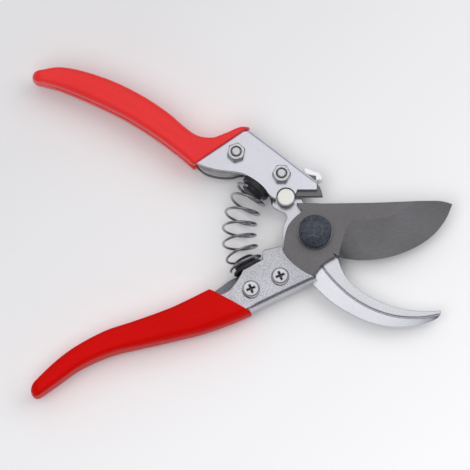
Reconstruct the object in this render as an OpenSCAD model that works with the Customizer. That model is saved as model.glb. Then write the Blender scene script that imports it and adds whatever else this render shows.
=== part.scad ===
// Bypass pruning shears, lying on their back with the jaws open.
// The pivot axis is Z, and the underside of the pivot nut is at z = 0.
// Handles point to -X, jaws to +X; the hook half is the +Y handle and the blade half the -Y one.

/* [Blade] */
// Thickness of the cutting blade
blade_t = 3.0; // [2.6:0.1:3.0]
// Diameter of the pivot bore and bolt shank
pivot_d = 8.0; // [6:0.5:9]
// Width of the ground bevel along the cutting edge
bevel_w = 17.8; // [12:0.1:20]
// Thickness left at the cutting edge
edge_t = 0.35; // [0.2:0.05:1]

/* [Hook] */
// Thickness of the hook
hook_t = 3.2; // [2.8:0.1:3.2]
// Radius of the eye around the pivot
eye_r = 13.8; // [13:0.1:14]

/* [Handles] */
// Thickness of the pressed steel
wall = 1.7; // [1.2:0.1:2]
// Thickness of the dipped vinyl
vinyl = 1.3; // [0.8:0.1:1.6]
// Half of the thickness of a grip
grip_half = 6.8; // [6.4:0.1:7.4]

/* [Fasteners] */
// Thread diameter of the tang screws
screw_d = 4; // [3:0.5:4.5]
// Across flats of the tang nuts
nut_af = 7; // [6.5:0.5:8]
// Height of the tang nuts
nut_h = 3.2; // [2.4:0.1:3.2]
// Diameter of the screw heads
head_d = 7.8; // [7:0.1:8.4]
// Height of the screw heads
head_h = 2.3; // [1.8:0.1:2.6]
// Diameter of the domed pivot bolt head
cap_d = 14.2; // [12:0.1:15]
// Height of the domed pivot bolt head
cap_h = 5.2; // [4:0.1:6]
// Across flats of the pivot nut
pivot_nut_af = 13; // [11:1:14]

/* [Spring] */
// Wire diameter
wire_d = 1.15; // [1:0.05:1.2]
// Radius of the coils to the middle of the wire
coil_r = 7.1; // [6.5:0.1:7.3]
// Distance of the spring's bent axis from the pivot
spring_r = 32.5; // [32:0.1:33]
// Number of turns
turns = 6.25; // [5:0.25:6.25]

/* [Latch] */
// Diameter of the button over the latch pin
button_d = 7.3; // [6:0.1:7.8]
// Diameter of the latch pin
latch_pin_d = 4; // [3:0.5:4.5]

/* [Hidden] */
$fn = 64;

// Heights, from the table up
shear_z = 8.6;                       // the plane where blade and hook slide on each other
rub_gap = 0.05;                      // half of the gap between blade and hook
side_gap = 0.15;                     // gap between a moving jaw and the other handle's plate
blade_z = shear_z + rub_gap;
blade_top = blade_z + blade_t;
hook_top = shear_z - rub_gap;
hook_z = hook_top - hook_t + rub_gap;
upper_in = [hook_z, shear_z + 3.2];              // inner faces of the upper channel
lower_in = [shear_z - 3.35, blade_top];          // inner faces of the lower channel
upper_out = [upper_in[0] - wall, upper_in[1] + wall];
lower_out = [lower_in[0] - wall, lower_in[1] + wall];
mid_z = shear_z;
run_gap = 0.04;                      // radial clearance of a turning fit
hold_gap = 0.02;                     // radial clearance of a fixed fit
end_gap = 0.05;                      // axial clearance beside the latch lever

// Places of the fasteners, seen from above
lower_screw_at = [[-27.5, -25.5], [-15, -19.8]];
upper_bolt_at = [[-33.8, 34.7], [-14.3, 25.1]];
upper_nut_turns = [18, 0];
latch_at = [-12.4, 15.3];

// Spring seats lie on radial lines from the pivot
upper_seat_angle = 138.5;
lower_seat_angle = 208.5;
upper_flange = 2.6;
lower_flange = 1.2;
seat_r = 6.7;
post_h = 5.4;                        // from the channel's lips to the post's tip
post_r = 4.9;

// The edges of the upper handle's steel, from its tail to its head
upper_web = [[-117.5, 70.8], [-111, 72], [-104, 71.2], [-95, 68.7], [-84.5, 64.6], [-74, 59],
    [-63.9, 52.1], [-57, 46], [-51.5, 42], [-46, 40.5], [-40.5, 40.9], [-35, 43.6], [-31, 45.6],
    [-27.5, 45.2]];
upper_web_head = [[-24, 42.5], [-4.7, 27.2], [0.9, 22.8]];
upper_lip = [[-117.3, 68], [-110.5, 66], [-104.5, 63.6], [-97, 60.4], [-88.5, 56.3],
    [-80, 51.8], [-71.5, 46.4], [-65, 41.8], [-60, 37.9], [-57, 35.5], [-55, 33.8], [-53.5, 32.4],
    [-52.3, 31.4], [-51, 30.3]];
upper_lip_front = [[-47, 28.8], [-41.5, 27.5], [-36, 27], [-32.5, 27.2]];
upper_lip_back = [[-47, 26.9], [-41.5, 25.3], [-36, 25], [-32.5, 26]];
upper_corner_back = [[-18.8, 15], [-18.6, 13.6], [-12.4, 11.2], [-8.4, 13], [-7.6, 17.6], [0.9, 18.4]];
upper_corner_front = [[-17.2, 14.6], [-8.2, 16.6], [-7.6, 18.4], [0.9, 18.4]];
button_notch_r = 4.15;

// The edges of the lower handle's steel, from its tail to its head
lower_web = [[-117, -69.3], [-110.5, -64.6], [-102.5, -58.7], [-94.2, -54.3], [-85.5, -51],
    [-77, -49], [-68, -47], [-59, -44.9], [-49.5, -42.6], [-39.5, -39.3], [-32, -36.3],
    [-27, -34.2]];
lower_web_head = [[-14, -27.8], [-0.8, -21.5]];
lower_lip = [[-118, -65.6], [-112.5, -60], [-105, -53.6], [-96.5, -48.2], [-88, -44],
    [-79, -41], [-70, -37.8], [-61, -34.3], [-53, -30.5], [-48.5, -28.2], [-46, -27], [-44.5, -26.2]];
lower_lip_back = [[-43, -24.6], [-39.5, -22.2], [-36.2, -20]];
lower_lip_front = [[-40.5, -27.6], [-37.6, -26], [-35, -23], [-33, -19.6]];
lower_corner = [[-22.6, -9.6], [-21.9, -8], [-14.6, -6.4]];
lower_front_arc = [[-14.6, -6.4], [-9.4, -13.9], [0.2, -19.9]];

// Blade outline, seen from above
spine_tip = [59.2, 13.2];
spine = [[-7.75, 13.1], [4, 12.9], [25, 13.2], [45, 14], [54, 14.3], spine_tip];
belly = [[59.2, 13.2], [56.7, 7.2], [53.3, 2.2], [49.3, -1.8], [43.5, -5.7], [36, -9],
    [28, -11], [20, -11.6], [14.5, -11.1], [9.5, -10.2]];
heel = [[9.5, -10.2], [6.4, -11.7], [2.7, -14.5], [-0.8, -18.9]];
blade_tang = [[-27, -31.2], [-31.6, -30.2], [-33, -26.5], [-31.5, -22], [-24, -15.2], [-16.5, -10.5]];
blade_eye = [[-16.5, -10.5], [-13.7, -7], [-12.9, -1.5], [-11.5, 3], [-8.7, 6.6], [-5.3, 9.5]];
bevel_centre = [23, 35.5];           // centre of the arc that the ground bevel follows

// Hook outline, seen from above
hook_inner = [[9.7, -9.8], [10.9, -13.8], [13, -18.2], [16.8, -22.7], [22, -26.5], [28.5, -29.9],
    [35, -32.2], [42, -33.5], [48.5, -33.8], [53.8, -33.6]];
hook_outer = [[53.8, -33.6], [53.4, -35.5], [51.4, -37.3], [47.5, -38.9], [42.5, -40.1],
    [36.5, -40.6], [30, -40.2], [23, -38.4], [16.4, -35.4], [9.7, -31.5], [4.1, -27], [-0.5, -22.2],
    [-4.3, -18.2], [-8, -13]];
hook_groove = [[2.6, -13.6], [6, -18.2], [9.9, -22.5], [14, -26.3], [19, -29.9], [25, -33.1],
    [31.5, -35.4], [38, -36.5], [46, -36.6], [53, -35.6]];
hook_tang = [[-13.4, 4], [-12, 6.8], [-12.4, 8.9], [-15, 10.4], [-18.2, 12.6], [-18.6, 17.2],
    [-28.6, 26.4], [-30.6, 27], [-33, 26.7], [-36, 25.9], [-41.5, 26.1], [-46.5, 27.6], [-50, 30.6],
    [-50, 33.5], [-45, 37], [-38, 38.4], [-32, 39.5], [-9, 22.6], [-6.2, 17.5]];
relief = 0.5;                        // depth of the relief outside the hook's groove

// ---- helper functions

// Point at t between p1 and p2 on a Catmull-Rom curve
function between(p0, p1, p2, p3, t) = 0.5 * (2 * p1 + (p2 - p0) * t
    + (2 * p0 - 5 * p1 + 4 * p2 - p3) * t * t + (3 * p1 - p0 - 3 * p2 + p3) * t * t * t);

// Smooth curve through points, with n steps between neighbours
function smooth(p, n = 6) = let(last = len(p) - 1) concat(
    [for (i = [0 : last - 1]) for (k = [0 : n - 1])
        between(p[max(i - 1, 0)], p[i], p[i + 1], p[min(i + 2, last)], k / n)],
    [p[last]]);

function reverse(p) = [for (i = [len(p) - 1 : -1 : 0]) p[i]];

// Unit normal to the left of a path at its point i
function left_of(p, i) = let(d = p[min(i + 1, len(p) - 1)] - p[max(i - 1, 0)]) [-d[1], d[0]] / norm(d);

// A path moved sideways, to its left
function shifted(p, by) = [for (i = [0 : len(p) - 1]) p[i] + by * left_of(p, i)];

function polar(r, angle) = r * [cos(angle), sin(angle)];

// Two points where a spring seat's flange starts and ends on a channel's lips
function seat_line(angle, from, to) = [polar(from, angle), polar(to, angle)];

// Superellipse point, half sizes a and b
function rounded(a, b, angle) = let(c = cos(angle), s = sin(angle), e = 2 / 3.2)
    [a * sign(c) * pow(abs(c), e), b * sign(s) * pow(abs(s), e)];

// ---- helper modules

module slab(points, z) {
    translate([0, 0, z[0]]) linear_extrude(z[1] - z[0]) polygon(points);
}

module hole(at, d, z) {
    translate([at[0], at[1], z[0] - 1]) cylinder(d = d, h = z[1] - z[0] + 2);
}

// A hexagon nut with chamfered corners and a plain bore
module nut(af, h, bore_d) {
    chamfer = 0.08 * af;
    difference() {
        intersection() {
            cylinder(d = af / cos(30), h = h, $fn = 6);
            rotate_extrude() polygon([[0, 0], [af / 2, 0], [af / 2 + chamfer, chamfer / 2],
                [af / 2 + chamfer, h - chamfer / 2], [af / 2, h], [0, h]]);
        }
        translate([0, 0, -1]) cylinder(d = bore_d, h = h + 2);
    }
}

// A pan head with a cross recess, on a plain shank that points down
module cross_screw(shank) {
    slot_w = 0.9;
    slot_l = 4.2;
    slot_deep = 1.3;
    difference() {
        union() {
            rotate_extrude() polygon([[0, 0], [head_d / 2, 0], [head_d / 2, head_h * 0.45],
                [head_d * 0.43, head_h * 0.75], [head_d * 0.33, head_h], [0, head_h]]);
            translate([0, 0, -shank]) cylinder(d = screw_d, h = shank + 0.1);
        }
        for (turn = [0, 90]) rotate(turn)
            translate([-slot_l / 2, -slot_w / 2, head_h - slot_deep]) cube([slot_l, slot_w, 2]);
    }
}

// A spring seat: a flange on the channel's lips and a domed post inside the coils.
// It is drawn at the angle of its radial line; side is 1 if the post points to larger angles.
module seat(angle, side, flange) {
    dome = 1.1;
    rotate(angle) translate([spring_r, 0, mid_z]) rotate([-90 * side, 0, 0])
        rotate_extrude() polygon([[0, 0], [seat_r, 0], [seat_r, flange - 0.3],
            [seat_r - 0.3, flange], [post_r + 0.4, flange], [post_r, flange + 0.4],
            [post_r - 0.4, post_h - dome - 0.6], [post_r - 1.2, post_h - dome],
            [post_r - 3, post_h - 0.25], [0, post_h]]);
}

// A vinyl sleeve over a channel. Both edges have the same number of points; side is the
// direction from the lips to the web.
module grip(web, lip, side) {
    sides = 24;
    smooth_web = shifted(smooth(web, 3), side * vinyl);
    smooth_lip = shifted(smooth(lip, 3), -side * vinyl);
    last = len(smooth_web) - 1;
    tip_steps = 4;
    tip_reach = 4.2;
    tip_dir = -(smooth_web[1] - smooth_web[0]) / norm(smooth_web[1] - smooth_web[0]);
    // ring(i): negative i are the shrinking rings of the rounded tail
    rings = [for (i = [-tip_steps : last])
        let(k = max(i, 0), shrink = i < 0 ? cos(-i / tip_steps * 84) : 1,
            reach = i < 0 ? tip_reach * sin(-i / tip_steps * 84) : 0,
            middle = (smooth_web[k] + smooth_lip[k]) / 2 + reach * tip_dir,
            across = (smooth_web[k] - smooth_lip[k]) / 2,
            half = norm(across))
        [for (j = [0 : sides - 1])
            let(q = rounded(half * shrink, grip_half * shrink, j * 360 / sides))
            [middle[0] + across[0] / half * q[0], middle[1] + across[1] / half * q[0],
                mid_z + q[1]]]];
    count = len(rings);
    points = [for (ring = rings) for (p = ring) p];
    turn = side > 0 ? 1 : -1;
    quads = [for (i = [0 : count - 2]) for (j = [0 : sides - 1])
        let(a = i * sides + j, b = i * sides + (j + 1) % sides)
        turn > 0 ? [a, b, b + sides, a + sides] : [a + sides, b + sides, b, a]];
    first_cap = [for (j = [0 : sides - 1]) turn > 0 ? sides - 1 - j : j];
    last_cap = [for (j = [0 : sides - 1]) (count - 1) * sides + (turn > 0 ? j : sides - 1 - j)];
    polyhedron(points, concat(quads, [first_cap, last_cap]));
}

// ---- blade half

blade_outline = concat(smooth(spine), smooth(belly), smooth(heel), blade_tang, smooth(blade_eye));

module blade() color("dimgray") difference() {
    slab(blade_outline, [blade_z, blade_top]);
    hole([0, 0], pivot_d + 2 * hold_gap, [blade_z, blade_top]);
    for (p = lower_screw_at) hole(p, screw_d + 2 * hold_gap, [blade_z, blade_top]);
    // the ground bevel, a cone that meets the edge
    edge_r = 47.2;
    translate([bevel_centre[0], bevel_centre[1], 0]) rotate([0, 0, -107])
        rotate_extrude(angle = 84) polygon([[edge_r - bevel_w, blade_top + 0.01],
            [edge_r, blade_z + edge_t], [edge_r + 8, blade_z + edge_t],
            [edge_r + 8, blade_top + 1], [edge_r - bevel_w, blade_top + 1]]);
}

lower_web_all = concat(smooth(lower_web), lower_web_head);
lower_seat_ends = seat_line(lower_seat_angle, 39.5, 25.5);
lower_lip_all = concat(smooth(lower_lip), lower_lip_back, lower_seat_ends, lower_corner);

module lower_handle() color("lightsteelblue") difference() {
    slab(concat(lower_web_all, reverse(smooth(lower_front_arc)), reverse(lower_lip_all)), lower_out);
    // the channel, open towards the spring and at the head
    slab(concat(shifted(lower_web_all, wall), [[6, -18], [6, 4], [-20, 0], [-60, -20], [-120, -56]]),
        lower_in);
    // the front plate is scooped beside the spring
    slab(concat(lower_lip_front, [seat_line(lower_seat_angle, 35.8, 0)[0], [-36, -10], [-52, -20],
        [-45.5, -26.2]]), [lower_in[1] - 0.1, lower_out[1] + 1]);
    // the hook passes through the web's front end, and stops on it when the shears are open
    slab([[-3.2, -19.4], [-5.2, -30], [8, -30], [8, -12], [-3, -12]], [lower_in[0], shear_z + 0.02]);
    for (p = lower_screw_at) hole(p, screw_d + 2 * hold_gap, lower_out);
}

module lower_grip() color("red") difference() {
    grip(lower_web, lower_lip, -1);
    slab(concat(lower_web_all, reverse(smooth(lower_front_arc)), reverse(lower_lip_all)), lower_out);
}

module lower_tang_spacer() color("silver") difference() {
    slab([[-27.5, -31.2], [-31.5, -29.8], [-32.6, -26.5], [-31, -22], [-24, -15.8], [-17.5, -12.2],
        [-13.8, -12.6], [-9.3, -17.4], [-8.6, -22.2]], [lower_in[0], blade_z]);
    for (p = lower_screw_at) hole(p, screw_d + 2 * hold_gap, lower_in);
}

module lower_tang_screws() color("gainsboro")
    for (p = lower_screw_at) translate([p[0], p[1], lower_out[1]])
        cross_screw(lower_out[1] - lower_out[0] + nut_h);

module lower_tang_nuts() color("gainsboro")
    for (p = lower_screw_at) translate([p[0], p[1], lower_out[0] - nut_h])
        nut(nut_af, nut_h, screw_d + 2 * hold_gap);

module lower_spring_seat() color("black") seat(lower_seat_angle, -1, lower_flange);

// A bent helix: the coil planes are radial, so the turns fan out from the pivot
spring_start = upper_seat_angle + (upper_flange + wire_d / 2) / (spring_r - coil_r) * 180 / PI;
spring_end = lower_seat_angle - (lower_flange + wire_d / 2) / (spring_r - coil_r) * 180 / PI;
dead_turn = 0.5;                     // share of a turn that lies nearly flat on each seat
dead_rise = 0.03;                    // share of the length that a dead turn takes up
coil_phase = 0.2;                    // share of a turn by which the wire's end leads

// Share of the way along the axis at turn t
function rise(t) = t < dead_turn ? dead_rise * t / dead_turn
    : t > turns - dead_turn ? 1 - dead_rise * (turns - t) / dead_turn
    : dead_rise + (1 - 2 * dead_rise) * (t - dead_turn) / (turns - 2 * dead_turn);

// Middle of the wire at turn t
function on_coil(t) = let(a = spring_start + (spring_end - spring_start) * rise(t),
    turned = (t - coil_phase) * 360, r = spring_r + coil_r * cos(turned))
    [r * cos(a), r * sin(a), mid_z - coil_r * sin(turned)];

module spring() color("silver") {
    sides = 8;
    steps = 20;
    last = turns * steps;
    path = [for (i = [0 : last]) on_coil(i / steps)];
    points = [for (i = [0 : last])
        let(d = path[min(i + 1, last)] - path[max(i - 1, 0)], along = d / norm(d),
            outward = path[i] - [path[i][0], path[i][1], 0] * spring_r / norm([path[i][0], path[i][1]])
                - [0, 0, mid_z],
            side = cross(along, outward) / norm(cross(along, outward)), up = cross(side, along))
        for (j = [0 : sides - 1])
            path[i] + wire_d / 2 * (cos(j * 360 / sides) * up + sin(j * 360 / sides) * side)];
    quads = [for (i = [0 : last - 1]) for (j = [0 : sides - 1])
        let(a = i * sides + j, b = i * sides + (j + 1) % sides) [a, a + sides, b + sides, b]];
    first_cap = [for (j = [0 : sides - 1]) j];
    last_cap = [for (j = [0 : sides - 1]) last * sides + sides - 1 - j];
    polyhedron(points, concat(quads, [first_cap, last_cap]));
}

// ---- pivot

washer_t = 0.8;

module pivot_bolt() color("midnightblue") {
    seat_z = blade_top + washer_t;
    cylinder(d = pivot_d, h = seat_z + 1);
    translate([0, 0, seat_z]) rotate_extrude() polygon([[0, 0], [cap_d / 2 - 0.3, 0],
        [cap_d / 2, 0.3], [cap_d / 2, cap_h * 0.5], [cap_d * 0.47, cap_h * 0.72],
        [cap_d * 0.39, cap_h * 0.88], [cap_d * 0.27, cap_h * 0.97], [0, cap_h]]);
}

module ring(outer_d, inner_d, z, h) {
    translate([0, 0, z]) difference() {
        cylinder(d = outer_d, h = h);
        translate([0, 0, -1]) cylinder(d = inner_d, h = h + 2);
    }
}

module pivot_head_washer() color("gainsboro")
    ring(cap_d + 1, pivot_d + 2 * hold_gap, blade_top, washer_t);

module pivot_spring_washer() color("silver")
    ring(pivot_nut_af + 2, pivot_d + 2 * hold_gap, hook_z - washer_t - rub_gap, washer_t);

module pivot_nut() color("gainsboro")
    nut(pivot_nut_af, hook_z - washer_t - rub_gap, pivot_d + 2 * hold_gap);

// ---- hook half

eye_arc = [for (a = [235 : -5 : 165]) polar(eye_r, a)];
eye_top = [for (a = [110 : -6 : 20]) polar(eye_r, a)];

module hook() color("lightsteelblue") difference() {
    slab(concat(smooth(hook_outer), eye_arc, smooth(hook_tang, 3), eye_top, [[11.6, -4]],
        smooth(hook_inner)), [hook_z, hook_top]);
    slab(concat(smooth(hook_groove), [[56, -45], [-2, -45], [-3, -24], [1, -18]]),
        [hook_top - relief, hook_top + 1]);
    hole([0, 0], pivot_d + 2 * run_gap, [hook_z, hook_top]);
    for (p = upper_bolt_at) hole(p, screw_d + 2 * hold_gap, [hook_z, hook_top]);
    hole(latch_at, latch_pin_d + 2 * hold_gap, [hook_z, hook_top]);
}

upper_web_all = concat(smooth(upper_web), upper_web_head);
upper_seat_ends = seat_line(upper_seat_angle, 39.5, 25.5);
upper_lip_all = concat(smooth(upper_lip), upper_lip_back, upper_seat_ends, upper_corner_back);

module upper_handle() color("lightsteelblue") difference() {
    slab(concat(upper_web_all, reverse(upper_lip_all)), upper_out);
    // the channel, open towards the spring and at the head
    slab(concat(shifted(upper_web_all, -wall), [[8, 18], [8, 6], [-20, 0], [-60, 20], [-120, 56]]),
        upper_in);
    // the thumb tab comes out through the web's front end
    slab([[-5.5, 30], [6, 26], [6, 15], [-5.5, 15]], upper_in);
    // the front plate is cut back beside the spring, around the latch button and over the blade
    slab(concat(upper_lip_front, [upper_seat_ends[0], [-36, 14], [-60, 22], [-51.5, 30.3]]),
        [upper_in[1] - 0.1, upper_out[1] + 1]);
    slab(concat([upper_seat_ends[1]], upper_corner_front, [[3, 8], [-24, 8]]),
        [upper_in[1] - 0.1, upper_out[1] + 1]);
    hole(latch_at, 2 * button_notch_r, [upper_in[1] + 0.9, upper_out[1]]);
    for (p = upper_bolt_at) hole(p, screw_d + 2 * hold_gap, upper_out);
    translate([0, 0, -20]) hole(latch_at, latch_pin_d + 2 * hold_gap, [0, 30]);
}

module upper_grip() color("red") difference() {
    grip(upper_web, upper_lip, 1);
    slab(concat(upper_web_all, reverse(upper_lip_all)), upper_out);
}

module upper_tang_spacer() color("silver") difference() {
    slab([[-38.5, 33], [-36.5, 37.8], [-32, 38.8], [-10.5, 23.4], [-11, 21.2], [-16, 20.6],
        [-22, 22.6], [-36.5, 31.4]], [hook_top, upper_in[1]]);
    for (p = upper_bolt_at) hole(p, screw_d + 2 * hold_gap, upper_in);
}

module upper_tang_bolts() color("gainsboro")
    for (p = upper_bolt_at) translate([p[0], p[1], upper_out[0]]) mirror([0, 0, 1])
        cross_screw(upper_out[1] - upper_out[0] + nut_h + 0.3);

module upper_tang_nuts() color("gainsboro")
    for (i = [0, 1]) translate([upper_bolt_at[i][0], upper_bolt_at[i][1], upper_out[1]])
        rotate(upper_nut_turns[i]) nut(nut_af, nut_h, screw_d + 2 * hold_gap);

module upper_spring_seat() color("black") seat(upper_seat_angle, 1, upper_flange);

// ---- latch

lever_z = [shear_z + side_gap, shear_z + 2.9];
hub_r = 3.7;
lever_arm = [[-11.4, 18.9], [-6.4, 19.6], [-3.9, 21.4], [-4, 25.8], [0.4, 25], [0.6, 22.2], [2.6, 19.5],
    [3.45, 16.05], [-8.9, 15.9]];
tab_outline = [[-4.9, 27.6], [-4.3, 28.9], [2, 26.4], [3.3, 24.6], [3, 23.3], [0.7, 22.2],
    [-3.9, 22.2], [-4.1, 26.4]];

module latch_lever() color("dimgray") difference() {
    union() {
        slab(lever_arm, lever_z);
        translate([latch_at[0], latch_at[1], lever_z[0]]) cylinder(r = hub_r, h = lever_z[1] - lever_z[0]);
    }
    hole(latch_at, latch_pin_d + 2 * run_gap, lever_z);
}

module latch_thumb_tab() color("ivory") difference() {
    slab(tab_outline, [shear_z - 2.3, shear_z + 3]);
    slab(lever_arm, lever_z);
}

module latch_pin() color("silver") {
    rivet_h = 1.2;
    translate([latch_at[0], latch_at[1], upper_out[0] - rivet_h]) {
        cylinder(r = 3.2, h = rivet_h);
        cylinder(d = latch_pin_d, h = shear_z + 4.2 - upper_out[0] + rivet_h);
    }
}

module latch_friction_washer() color("silver") translate([latch_at[0], latch_at[1], 0])
    ring(6.8, latch_pin_d + 2 * hold_gap, hook_top, side_gap);

module latch_button() color("ivory") translate([latch_at[0], latch_at[1], lever_z[1] + end_gap])
    difference() {
        rotate_extrude() polygon([[0, 0], [button_d / 2, 0], [button_d / 2, 1.9],
            [button_d / 2 - 0.4, 2.3], [0, 2.45]]);
        translate([0, 0, -1]) cylinder(d = latch_pin_d + 2 * hold_gap, h = 2.4);
    }

blade();
lower_handle();
lower_grip();
lower_tang_spacer();
lower_tang_screws();
lower_tang_nuts();
lower_spring_seat();
spring();
pivot_bolt();
pivot_head_washer();
pivot_spring_washer();
pivot_nut();
hook();
upper_handle();
upper_grip();
upper_tang_spacer();
upper_tang_bolts();
upper_tang_nuts();
upper_spring_seat();
latch_lever();
latch_thumb_tab();
latch_pin();
latch_friction_washer();
latch_button();
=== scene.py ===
"""Bypass pruning shears on a pale table, jaws open. Lengths are in millimetres until a mesh is made."""
import math

import bmesh
import bpy
from mathutils import Matrix, Vector
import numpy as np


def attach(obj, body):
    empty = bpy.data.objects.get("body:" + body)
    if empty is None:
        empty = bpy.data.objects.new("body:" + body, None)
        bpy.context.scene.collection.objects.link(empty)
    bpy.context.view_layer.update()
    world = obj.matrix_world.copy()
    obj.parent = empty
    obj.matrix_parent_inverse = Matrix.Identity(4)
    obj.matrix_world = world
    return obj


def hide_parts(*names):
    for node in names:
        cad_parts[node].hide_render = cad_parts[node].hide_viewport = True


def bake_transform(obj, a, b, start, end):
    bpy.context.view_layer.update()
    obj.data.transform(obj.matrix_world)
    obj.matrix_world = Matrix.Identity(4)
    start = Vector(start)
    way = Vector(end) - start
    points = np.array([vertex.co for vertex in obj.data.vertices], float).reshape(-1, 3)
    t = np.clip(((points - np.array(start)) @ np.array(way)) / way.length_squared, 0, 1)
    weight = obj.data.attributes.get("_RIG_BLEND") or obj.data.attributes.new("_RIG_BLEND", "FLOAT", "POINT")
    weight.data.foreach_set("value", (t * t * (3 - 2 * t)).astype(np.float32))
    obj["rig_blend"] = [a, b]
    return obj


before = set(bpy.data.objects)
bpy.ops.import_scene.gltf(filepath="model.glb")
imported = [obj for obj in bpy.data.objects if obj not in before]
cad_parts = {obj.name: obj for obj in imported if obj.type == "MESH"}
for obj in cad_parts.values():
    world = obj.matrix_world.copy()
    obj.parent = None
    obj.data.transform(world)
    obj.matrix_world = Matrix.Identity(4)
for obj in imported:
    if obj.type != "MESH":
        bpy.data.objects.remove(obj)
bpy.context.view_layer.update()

MM = 0.001

# ---- heights and driving dimensions

BLADE = (8.65, 11.65)
HOOK = (5.4, 8.55)
MID_Z = 8.6
WALL = 1.7
UPPER_IN = (5.4, 11.8)
UPPER_OUT = (3.7, 13.5)
LOWER_IN = (5.25, 11.65)
LOWER_OUT = (3.55, 13.35)
VINYL = 1.3
GRIP_HALF = 6.8
PIVOT_D = 8.0
PIVOT_HOLE = PIVOT_D / 2 + 0.02
SCREW_D = 4.0
SCREW_HOLE = SCREW_D / 2 + 0.02
NUT_AF = 7.0
NUT_H = 3.2
HEAD_D = 7.8
HEAD_H = 2.3
CROSS_TURNS = (22, 112)
CROSS_MOUTH = (2.1, 0.42)
CROSS_FLOOR = (0.8, 0.25)
CROSS_DEPTH = 1.6
CAP_R = 7.1
CAP_H = 5.2
WASHER_T = 0.8
SPRING_WASHER_Z = HOOK[0] - WASHER_T - 0.05
PIVOT_NUT_AF = 13
WIRE_D = 1.15
COIL_R = 7.1
SPRING_R = 32.5
TURNS = 6.25
LATCH_AT = (-12.4, 15.3)
LATCH_PIN_R = 2.0
BUTTON_R = 3.65
LOWER_SCREWS = ((-27.5, -25.5), (-15, -19.8))
UPPER_BOLTS = ((-33.8, 34.7), (-14.3, 25.1))
UPPER_NUT_TURNS = (18, 0)
LEVER_Z = (8.75, 11.5)
UPPER_SEAT_ANGLE = 138.5
LOWER_SEAT_ANGLE = 208.5
SEAT_INNER_R = 25.5
SEAT_OUTER_R = 39.5
UPPER_FLANGE = 2.6
LOWER_FLANGE = 1.2
HOOK_EYE_R = 13.8
HOOK_TANG_X = -24

# ---- outlines seen from above

UPPER_WEB = [(-117.5, 70.8), (-111, 72), (-104, 71.2), (-95, 68.7), (-84.5, 64.6), (-74, 59),
             (-63.9, 52.1), (-57, 46), (-51.5, 42), (-46, 40.5), (-40.5, 40.9), (-35, 43.6),
             (-31, 45.6), (-27.5, 45.2)]
UPPER_LIP = [(-117.3, 68), (-110.5, 66), (-104.5, 63.6), (-97, 60.4), (-88.5, 56.3), (-80, 51.8),
             (-71.5, 46.4), (-65, 41.8), (-60, 37.9), (-57, 35.5), (-55, 33.8), (-53.5, 32.4),
             (-52.3, 31.4), (-51, 30.3)]
UPPER_SCALLOP = [(-51, 30.3), (-46.8, 28.6), (-42.6, 27.4), (-38.5, 26.8), (-34.4, 26.3), (-30.8, 25.5),
                 (-27.4, 23.7), (-24.4, 21.6), (-22.2, 19.6), (-20.6, 17.6), (-19, 15.6), (-17.2, 14.6)]
UPPER_BACK_LIP = [(-51, 30.3), (-47, 26.9), (-41.5, 25.3), (-36, 25), (-32.5, 26), (-29.6, 26.2)]
LOWER_WEB = [(-117, -69.3), (-110.5, -64.6), (-102.5, -58.7), (-94.2, -54.3), (-85.5, -51),
             (-77, -49), (-68, -47), (-59, -44.9), (-49.5, -42.6), (-39.5, -39.3), (-32, -36.3),
             (-27, -34.2)]
LOWER_LIP = [(-118, -65.6), (-112.5, -60), (-105, -53.6), (-96.5, -48.2), (-88, -44), (-79, -41),
             (-70, -37.8), (-61, -34.3), (-53, -30.5), (-48.5, -28.2), (-46, -27), (-44.5, -26.2)]
LOWER_SCOOP = [(-44.5, -26.2), (-41.5, -27.6), (-38.6, -27), (-35.8, -24.8), (-33.4, -21.6),
               (-31.8, -18.8), (-30.9, -16.8)]
LOWER_BACK_LIP = [(-44.5, -26.2), (-43, -24.6), (-39.5, -21.9), (-36.6, -19.8), (-34.7, -18.8)]
BLADE_SPINE = [(-7.75, 13.1), (4, 12.9), (25, 13.2), (45, 14), (54, 14.3), (59.2, 13.2)]
BLADE_EDGE = [(59.2, 13.2), (56.7, 7.2), (53.3, 2.2), (49.3, -1.8), (43.5, -5.7), (36, -9), (28, -11),
              (20, -11.6), (14.5, -11.1), (9.5, -10.2)]
BLADE_HEEL = [(9.5, -10.2), (6.4, -11.7), (2.7, -14.5), (-0.8, -18.9)]
BLADE_TANG = [(-27, -31.2), (-31.6, -30.2), (-33, -26.5), (-31.5, -22), (-24, -15.2)]
BLADE_EYE = [(-16.5, -10.5), (-13.7, -7), (-12.9, -1.5), (-11.5, 3), (-8.7, 6.6), (-5.3, 9.5)]
GRIND_LINE = [(10.1, -10.6), (12.2, -2.5), (14.2, 3.4), (18, 5.6), (26, 6), (32.7, 7.6), (39, 10.8),
              (45.5, 14.6)]
# The grinding cut runs on past the blade's tip and spine
PAST_TIP = [Vector((60.4, 15)), Vector((61, 17))]
PAST_SPINE = [Vector((48.5, 16.4)), Vector((52, 18.4))]
HOOK_INNER = [(9.7, -9.8), (10.9, -13.8), (13, -18.2), (16.8, -22.7), (22, -26.5), (28.5, -29.9),
              (35, -32.2), (42, -33.5), (48.5, -33.8), (53.8, -33.6)]
HOOK_OUTER = [(53.8, -33.6), (53.4, -35.5), (51.4, -37.3), (47.5, -38.9), (42.5, -40.1), (36.5, -40.6),
              (30, -40.2), (23, -38.4), (16.4, -35.4), (9.7, -31.5), (4.1, -27), (-0.5, -22.2),
              (-4.3, -18.2), (-8, -13)]
HOOK_GROOVE = [(1, -11), (2.6, -13.6), (6, -18.2), (9.9, -22.5), (14, -26.3), (19, -29.9), (25, -33.1),
               (31.5, -35.4), (38, -36.5), (46, -36.6), (54, -35.2)]
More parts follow.
